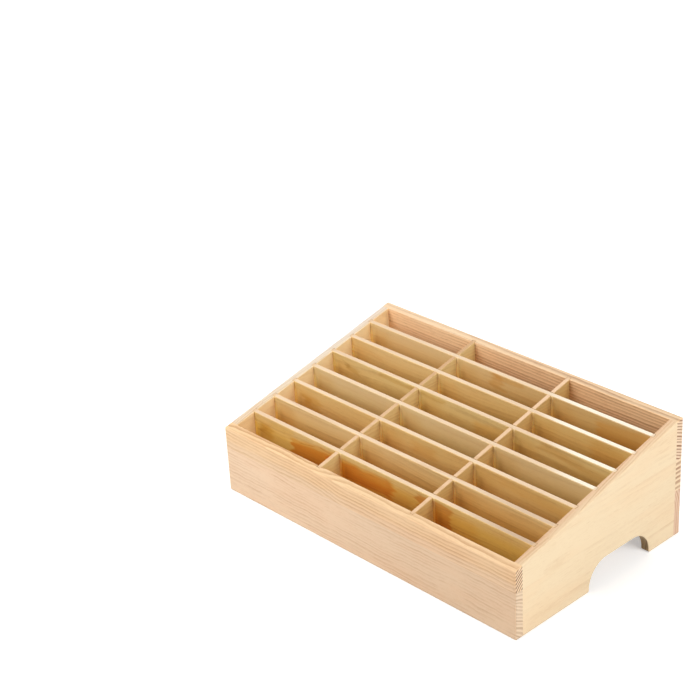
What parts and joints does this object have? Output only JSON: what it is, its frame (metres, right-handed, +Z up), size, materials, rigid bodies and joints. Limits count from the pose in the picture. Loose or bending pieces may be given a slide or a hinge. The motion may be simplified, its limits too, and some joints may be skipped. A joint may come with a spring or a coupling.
{
  "type": "phone storage box",
  "caption": "Open wooden box with a rim sloping down to the front and crossed half-lapped dividers forming rows of narrow slots for phones, with hand cut-outs in its sides.",
  "frame": {"origin": "on the table, at the middle of the box's width and depth", "axes": "+X from left to right along the front wall, +Y from the low front wall to the high back wall, +Z up"},
  "size_m": [0.336, 0.204, 0.1096],
  "materials": {
    "front_wall": "planed and sanded pine",
    "back_wall": "planed and sanded pine",
    "side_wall": "planed and sanded pine",
    "base": "thin pine board",
    "dividers": "thin planed pine"
  },
  "bodies": {
    "root": {"front_lower_strip": "front_wall", "front_upper_strip": "front_wall", "back_lower_strip": "back_wall", "back_middle_strip": "back_wall", "back_upper_strip": "back_wall", "left_side_lower_strip": "side_wall", "left_side_middle_strip": "side_wall", "left_side_upper_strip": "side_wall", "right_side_lower_strip": "side_wall", "right_side_middle_strip": "side_wall", "right_side_upper_strip": "side_wall", "base_board": "base", "long_divider_1": "dividers", "long_divider_2": "dividers", "cross_divider_1": "dividers", "cross_divider_2": "dividers", "cross_divider_3": "dividers", "cross_divider_4": "dividers", "cross_divider_5": "dividers", "cross_divider_6": "dividers", "cross_divider_7": "dividers"}
  },
  "joints": []
}
